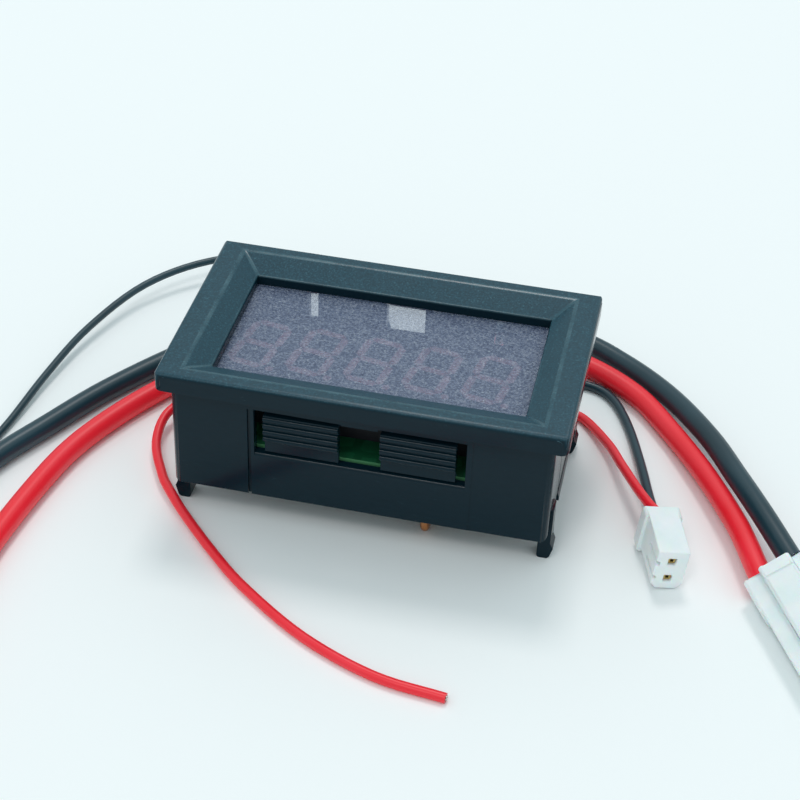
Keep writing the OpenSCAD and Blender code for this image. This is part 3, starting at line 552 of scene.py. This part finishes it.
# %% [markdown]
# ## Display
#
# The display is a block of filled epoxy, printed matt black on its face, with seven milky light
# segments and a decimal point for each digit. Unlit, the segments look pale pink, and light
# spreads a little inside their resin. Three dabs of hot-melt glue hold the far edge of the
# filter. The CAD pieces have the right shape already, so they only get their finish.

# %% Display and glue
display_face = make_even("printed_black_epoxy", "#1c1a22", ["#19171e", "#23202a"], 0.55,
                         mm(2), mm(0.25), mm(0.01), IOR=1.5)
segment_resin = make_even("milky_led_resin", "#d8b6bd", ["#dca3a8", "#efc0c3"], 0.45,
                          mm(1.5), mm(0.3), mm(0.01), IOR=1.5,
                          Subsurface_Weight=0.25, Subsurface_Scale=mm(0.5))
glue = make_even("hot_melt_glue", "#e2bfbb", ["#d9aeab", "#ecd3cf"], 0.3,
                 mm(0.8), mm(0.7), mm(0.08), 0.6, IOR=1.49)
dress(bpy.data.objects["display_shell"], display_face)
dress(bpy.data.objects["display_segments"], segment_resin)
dress(bpy.data.objects["glue_dabs"], glue)

# %% [markdown]
# ## Metals
#
# Tinned pins, solder, the copper-alloy shunt and the contacts in the plugs share one recipe: a
# metal keeps the default IOR and differs by colour, by roughness and by how much its surface
# waves. Drawn wire is even, while solder freezes in soft waves.

# %% Metals
def make_metal(name, colours, roughness, wave, depth):
    return make_even(name, colours[0], colours, roughness, mm(1.2), wave, depth, 0.5, metallic=1.0)


tinned = make_metal("tinned_copper_wire", ["#b9b9b3", "#d2d2cd"], 0.3, mm(0.4), mm(0.02))
solder = make_metal("fluxed_tin_solder", ["#a9abab", "#d0d2d2"], 0.26, mm(0.9), mm(0.1))
shunt_alloy = make_metal("manganin_wire", ["#a8673f", "#c98d5e"], 0.34, mm(0.5), mm(0.02))
brass = make_metal("stamped_brass", ["#a98d52", "#c6ab6c"], 0.3, mm(0.4), mm(0.02))
tin_plate = make_metal("tin_plated_brass", ["#a3a49f", "#c6c6c1"], 0.32, mm(0.4), mm(0.02))
for node, metal in {"display_pins": tinned, "chip_legs": tinned, "small_contacts": brass,
                    "large_contacts": tin_plate}.items():
    dress(bpy.data.objects[node], metal)

# %% [markdown]
# ## Solder joints and shunt
#
# Molten solder has no sharp edge. Its CAD cones are shaded smoothly, so that they read as small
# hills of metal, which is cheaper than more faces on joints this small. The shunt is a drawn
# wire, bent and soldered by hand, and gets the same treatment.

# %% Solder and shunt
solder_hills = dress(shade(copy_of("solder_joints", "solder_hills"), 70), solder)
shunt_loop = dress(shade(copy_of("current_shunt", "shunt_loop"), 60), shunt_alloy)

# %% [markdown]
# ## Board and its parts
#
# The circuit board is glass-epoxy with a green solder mask. Mask over bare laminate is dark and
# mask over copper is lighter, which is how tracks show. They could be drawn one by one, but only
# a strip of the board shows, so the cells of a Voronoi pattern stand for copper areas. The
# laminate's sawn edge has no mask and looks paler. The chip is moulded epoxy with a fine grain.

# %% Board and chip materials
def make_mask():
    material, tree, principled, place = start_finish("green_solder_mask", "#0d5a35", 0.25, IOR=1.55)
    weave = add(tree, "ShaderNodeTexWave", {"Vector": place, "Scale": 1 / mm(7), "Distortion": 0.6},
                bands_direction="DIAGONAL")
    tracks = add(tree, "ShaderNodeTexVoronoi", {
        "Vector": place, "Scale": 1 / mm(3.2), "Randomness": 0.35}, feature="DISTANCE_TO_EDGE")
    copper = add(tree, "ShaderNodeMath", {0: tracks, 1: 0.16}, operation="GREATER_THAN")
    masked = add(tree, "ShaderNodeMix", {
        FACTOR: copper, COLOUR_A: srgb("#0c4f30"), COLOUR_B: srgb("#125a38")}, data_type="RGBA")
    normal = add(tree, "ShaderNodeNewGeometry").outputs["Normal"]
    facing = add(tree, "ShaderNodeSeparateXYZ", {"Vector": normal}).outputs["Z"]
    upright = add(tree, "ShaderNodeMath", {0: facing}, operation="ABSOLUTE")
    sawn = add(tree, "ShaderNodeMath", {0: upright, 1: 0.5}, operation="LESS_THAN")
    colour = add(tree, "ShaderNodeMix", {
        FACTOR: sawn, COLOUR_A: masked.outputs[MIXED], COLOUR_B: srgb("#4c8a5c")}, data_type="RGBA")
    feed(tree, colour.outputs[MIXED], principled.inputs["Base Color"])
    rough = add(tree, "ShaderNodeMapRange", {"Value": sawn, "To Min": 0.25, "To Max": 0.7})
    feed(tree, rough, principled.inputs["Roughness"])
    height = add(tree, "ShaderNodeMath", {0: weave.outputs["Fac"], 1: copper}, operation="ADD")
    bump = add(tree, "ShaderNodeBump", {"Height": height, "Strength": 0.3, "Distance": mm(0.03)})
    feed(tree, bump, principled.inputs["Normal"])
    return material


package = make_even("moulded_epoxy_package", "#1b1b1d", ["#18181a", "#222225"], 0.5,
                    mm(1), mm(0.12), mm(0.01), IOR=1.55)
chip = soften("controller_chip", "chip_package", (mm(0.05), 2, long_and_roomy(mm(0.5), mm(0.2))))
dress(chip, package)
dress(bpy.data.objects["regulator"], package)
dress(bpy.data.objects["main_board"], make_mask())

# %% [markdown]
# ## Chip parts by Geometry Nodes
#
# Twelve resistors and capacitors sit on the rear of the board. All share one build: a ceramic
# block with a tinned cap over each end. Copying a model by hand would fix its size, while a node
# group has the sizes as inputs. The places are the points of a small mesh, each carrying its turn
# as an attribute, and the group puts one block and two caps on every point.

# %% A node group for chip parts
CAP_PROUD = mm(0.06)          # the caps are this much wider and higher than the block


def start_group(name, sizes):
    """An empty node group with a geometry input, the named inputs and a geometry output."""
    tree = bpy.data.node_groups.new(name, "GeometryNodeTree")
    tree.interface.new_socket("Geometry", in_out="INPUT", socket_type="NodeSocketGeometry")
    for label, kind in sizes.items():
        tree.interface.new_socket(label, in_out="INPUT", socket_type="NodeSocket" + kind)
    tree.interface.new_socket("Geometry", in_out="OUTPUT", socket_type="NodeSocketGeometry")
    return tree, add(tree, "NodeGroupInput").outputs, add(tree, "NodeGroupOutput").inputs


def chip_part_group():
    """Node group: on each point a block of the given size with a metal cap over both ends."""
    tree, given, out = start_group("chip_parts", {
        "Length": "Float", "Width": "Float", "Height": "Float", "Cap": "Float",
        "Body finish": "Material", "Cap finish": "Material"})

    def block(length, width, height, finish):
        size = add(tree, "ShaderNodeCombineXYZ", {"X": length, "Y": width, "Z": height})
        cube = add(tree, "GeometryNodeMeshCube", {"Size": size})
        return add(tree, "GeometryNodeSetMaterial", {"Geometry": cube, "Material": finish})

    caps = add(tree, "ShaderNodeMath", {0: given["Cap"], 1: 2.0}, operation="MULTIPLY")
    bare = add(tree, "ShaderNodeMath", {0: given["Length"], 1: caps}, operation="SUBTRACT")
    slim = add(tree, "ShaderNodeMath", {0: given["Width"], 1: -CAP_PROUD}, operation="ADD")
    low = add(tree, "ShaderNodeMath", {0: given["Height"], 1: -CAP_PROUD}, operation="ADD")
    joined = add(tree, "GeometryNodeJoinGeometry", {0: block(bare, slim, low, given["Body finish"])})
    reach = add(tree, "ShaderNodeMath", {0: given["Length"], 1: given["Cap"]}, operation="SUBTRACT")
    for half in (0.5, -0.5):
        shift = add(tree, "ShaderNodeMath", {0: reach, 1: half}, operation="MULTIPLY")
        cap = block(given["Cap"], given["Width"], given["Height"], given["Cap finish"])
        aside = add(tree, "ShaderNodeCombineXYZ", {"X": shift})
        moved = add(tree, "GeometryNodeTransform", {"Geometry": cap, "Translation": aside})
        feed(tree, moved, joined.inputs[0])
    turn = add(tree, "GeometryNodeInputNamedAttribute", {"Name": "turn"}, data_type="FLOAT")
    angle = add(tree, "ShaderNodeCombineXYZ", {"Z": turn})
    placed = add(tree, "GeometryNodeInstanceOnPoints", {
        "Points": given["Geometry"], "Instance": joined, "Rotation": angle})
    feed(tree, add(tree, "GeometryNodeRealizeInstances", {"Geometry": placed}), out[0])
    return tree


def grown(name, points, group, values, turns=None):
    """Run a node group on points and return the result as a plain mesh object."""
    seed = bpy.data.meshes.new(name + "_points")
    seed.from_pydata([tuple(p) for p in points], [], [])
    if turns:
        seed.attributes.new("turn", "FLOAT", "POINT").data.foreach_set("value", turns)
    carrier = link(bpy.data.objects.new(name + "_carrier", seed))
    modifier = carrier.modifiers.new("grow", "NODES")
    modifier.node_group = group
    for item in group.interface.items_tree:
        if item.name in values and item.in_out == "INPUT":
            modifier[item.identifier] = values[item.name]
    depsgraph = bpy.context.evaluated_depsgraph_get()
    mesh = bpy.data.meshes.new_from_object(carrier.evaluated_get(depsgraph), depsgraph=depsgraph)
    bpy.data.objects.remove(carrier)
    print(name, len(points), "points grew", len(mesh.polygons), "faces")
    return link(bpy.data.objects.new(name, mesh))


# %% Place the chip parts: x and y in millimetres, turn in degrees
BOARD_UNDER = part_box("main_board")[0].z
CHIP_PART = {"Length": mm(2.0), "Width": mm(1.25), "Cap": mm(0.35)}
RESISTORS = [
    (-19.3, 2.6, 90), (-16.8, 1.4, 90), (-13.3, 1.2, 90), (-12.6, -10, 0), (-11.8, -6.8, 90),
    (19.3, -4.2, 90), (11.8, -2.6, 90), (11.8, -6.2, 90)]
CAPACITORS = [(-19.3, -10, 0), (-16.5, -10, 0), (12.7, -10, 90), (19.3, -9.6, 90)]
chip_parts = chip_part_group()


def make_ceramic():
    material, tree, principled, place = start_finish("barium_titanate_ceramic", "#b39b74", 0.45, IOR=1.6)
    tone(tree, principled, place, mm(1), ["#a88f69", "#bda680"])
    return material


def chip_row(name, places, height, finish):
    points = [(mm(x), mm(y), BOARD_UNDER - height / 2) for x, y, _ in places]
    values = {**CHIP_PART, "Height": height, "Body finish": finish, "Cap finish": tinned}
    return grown(name, points, chip_parts, values, [math.radians(a) for _, _, a in places])


glass_coat = start_finish("resistor_glass_coat", "#1d1d20", 0.32, IOR=1.52)[0]
resistor_row = chip_row("resistor_row", RESISTORS, mm(0.55), glass_coat)
capacitor_row = chip_row("capacitor_row", CAPACITORS, mm(1.0), make_ceramic())

# %% [markdown]
# ## Twisted strands by Geometry Nodes
#
# The stripped ends of the left leads show twisted, tinned strands. A texture on a rod would look
# flat from the side, so the strands are real. One strand is a steep spiral. The group puts several
# of them round the axis, each turned a little further, with one straight strand in the middle,
# and gives them their thickness at the end.

# %% A node group for twisted strands
def strand_group():
    """Node group: a twisted bundle of strands along +Z, of the given length and radii."""
    tree, given, out = start_group("twisted_strands", {
        "Strands": "Int", "Length": "Float", "Twist radius": "Float", "Strand radius": "Float",
        "Turns": "Float", "Finish": "Material"})
    spiral = add(tree, "GeometryNodeCurveSpiral", {
        "Resolution": 24, "Rotations": given["Turns"], "Start Radius": given["Twist radius"],
        "End Radius": given["Twist radius"], "Height": given["Length"]})
    row = add(tree, "GeometryNodeMeshLine", {"Count": given["Strands"], "Offset": (0, 0, 0)},
              mode="OFFSET")
    step = add(tree, "ShaderNodeMath", {0: math.tau, 1: given["Strands"]}, operation="DIVIDE")
    index = add(tree, "GeometryNodeInputIndex")
    turn = add(tree, "ShaderNodeMath", {0: step, 1: index}, operation="MULTIPLY")
    angle = add(tree, "ShaderNodeCombineXYZ", {"Z": turn})
    ring = add(tree, "GeometryNodeInstanceOnPoints", {
        "Points": row, "Instance": spiral, "Rotation": angle})
    lines = add(tree, "GeometryNodeRealizeInstances", {"Geometry": ring})
    tip = add(tree, "ShaderNodeCombineXYZ", {"Z": given["Length"]})
    middle = add(tree, "GeometryNodeCurvePrimitiveLine", {"End": tip})
    both = add(tree, "GeometryNodeJoinGeometry", {0: lines})
    feed(tree, middle, both.inputs[0])
    profile = add(tree, "GeometryNodeCurvePrimitiveCircle", {
        "Resolution": 8, "Radius": given["Strand radius"]})
    solid = add(tree, "GeometryNodeCurveToMesh", {
        "Curve": both, "Profile Curve": profile, "Fill Caps": True})
    real = add(tree, "GeometryNodeRealizeInstances", {"Geometry": solid})
    dressed = add(tree, "GeometryNodeSetMaterial", {"Geometry": real, "Material": given["Finish"]})
    feed(tree, dressed, out[0])
    return tree


strands = strand_group()

# %% Bare ends of the left leads
STRIPPED = mm(5)
CUT_SQUARE = mm(0.12)         # the thin red lead is cut off, so its strands end almost flush
COPPER_SHARE = 0.55           # diameter of the bundle, as a share of the lead's
LAY = 9                       # the strands turn once in this many radii of the bundle


def bare_end(name, lead, length):
    """Twisted strands carrying on from the end of that lead."""
    line = CENTRELINES[lead]
    along = (line[-1] - line[-2]).normalized()
    outer = COPPER_SHARE * DIAMETER[lead] / 2
    obj = grown(name, [Vector((0, 0, 0))], strands, {
        "Strands": 6, "Length": length, "Twist radius": outer * 2 / 3, "Strand radius": outer / 3,
        "Turns": length / (LAY * outer), "Finish": tinned})
    turn = Vector((0, 0, 1)).rotation_difference(along).to_matrix().to_4x4()
    obj.data.transform(Matrix.Translation(line[-1]) @ turn)
    return shade(obj, 50)


tips = {lead: bare_end(lead.replace("_left", "_strands"), lead, STRIPPED)
        for lead in ("thick_red_left", "thick_black_left", "thin_black_left")}
red_end = bare_end("thin_red_strands", "thin_red_left", CUT_SQUARE)

# %% [markdown]
# ## Plugs
#
# Both plugs are moulded nylon housings. Natural nylon is a milky, slightly bluish white and lets
# a little light in below its surface, so its shadows are never black. Nylon flows well and still
# comes out of the mould with generous rounds, so the plugs get wider rounds than the case.

# %% Nylon plugs
nylon = make_even("natural_nylon", "#f2f8f8", ["#ecf5f5", "#f7fbfb"], 0.4,
                  mm(3), mm(0.3), mm(0.01), IOR=1.53,
                  Subsurface_Weight=0.35, Subsurface_Scale=mm(0.8))
small_body = soften("small_plug", "small_plug_moulding",
                    (mm(0.2), 4, long_and_roomy(mm(0.5), mm(0.45))))
large_body = soften("large_plug", "large_plug_moulding",
                    (mm(0.24), 4, long_and_roomy(mm(0.5), mm(0.6))))
for body in (small_body, large_body):
    dress(body, nylon)

# %% [markdown]
# ## Which body each piece follows
#
# Every new piece moves with a body of the CAD model and takes the place of the piece it was made
# from, which is hidden. The table also names that piece's material slot. The four clips follow
# bodies of their own, and everything else belongs to the case.

# %% Bodies, replaced pieces and finish slots
follow = [
    (case_body, CASE, "housing", "case_abs"),
    (chip, CASE, "controller_chip", "chip_black"),
    (solder_hills, CASE, "solder_joints", "solder"),
    (shunt_loop, CASE, "current_shunt", "shunt_copper"),
    (resistor_row, CASE, "resistors", "resistor_black"),
    (capacitor_row, CASE, "capacitors", "capacitor_tan"),
    (small_body, CASE, "small_plug", "plug_nylon"),
    (large_body, CASE, "large_plug", "plug_nylon")]
follow += [(clips[name], name, name, "case_abs") for name in CLIPS]
follow += [(obj, CASE, lead.replace("_left", "_tip"), "tinned_metal") for lead, obj in tips.items()]
for obj, body, node, slot in follow:
    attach(obj, body)
    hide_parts(node)
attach(red_end, CASE)
print(len(follow), "pieces stand for CAD pieces")

for name, obj in leads.items():
    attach(obj, CASE)
    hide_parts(name)

# %% [markdown]
# ## Table and light
#
# The table is plain and pale. A white dome, brightest overhead, gives most of the light and keeps
# every shadow soft. A softbox stands above and behind to draw the moulded edges, and a smaller
# lamp in front closes the shadow under the case. The camera sees the dome at one even level, so
# the backdrop meets the table without a line.

# %% Table
TABLE_HALF = 9


def make_table():
    corners = [(x * TABLE_HALF, y * TABLE_HALF, 0) for x, y in ((-1, -1), (1, -1), (1, 1), (-1, 1))]
    mesh = bpy.data.meshes.new("table")
    mesh.from_pydata(corners, [], [(0, 1, 2, 3)])
    table = link(bpy.data.objects.new("table", mesh))
    dress(table, start_finish("pale_paper", "#fcfdfd", 0.7)[0])


make_table()


# %% Dome and lamps: place and size in metres, power in watts
BACKDROP = 0.95
WARM_WHITE = (1.0, 0.965, 0.945)
LAMPS = {
    "softbox": {"place": (-0.08, 0.67, 1.44), "size": 0.36, "power": 5.2},
    "front_lamp": {"place": (-0.24, -0.8, 1.36), "size": 0.32, "power": 2.8}}


def make_dome():
    world = bpy.data.worlds.new("surround")
    bpy.context.scene.world = world
    world.use_nodes = True
    tree = world.node_tree
    background = tree.nodes["Background"]
    background.inputs["Color"].default_value = srgb("#e6f7fb")
    way = add(tree, "ShaderNodeTexCoord").outputs["Generated"]
    height = add(tree, "ShaderNodeSeparateXYZ", {"Vector": way}).outputs["Z"]
    dome = add(tree, "ShaderNodeMapRange", {
        "Value": height, "From Min": -0.05, "From Max": 0.8, "To Min": 0.56, "To Max": 0.82})
    seen = add(tree, "ShaderNodeLightPath").outputs["Is Camera Ray"]
    level = add(tree, "ShaderNodeMix", {FACTOR: seen, VALUE_A: dome, VALUE_B: BACKDROP})
    feed(tree, level, background.inputs["Strength"])


def make_lamp(name, place, size, power):
    lamp = bpy.data.lights.new(name, "AREA")
    lamp.size = size
    lamp.color = WARM_WHITE
    lamp.energy = power
    holder = link(bpy.data.objects.new(name, lamp))
    holder.location = place
    holder.rotation_euler = (-holder.location).to_track_quat("-Z", "Y").to_euler()


make_dome()
for name, settings in LAMPS.items():
    make_lamp(name, **settings)
    print(name, "gives", settings["power"], "W")
bpy.context.scene.view_settings.view_transform = "Standard"
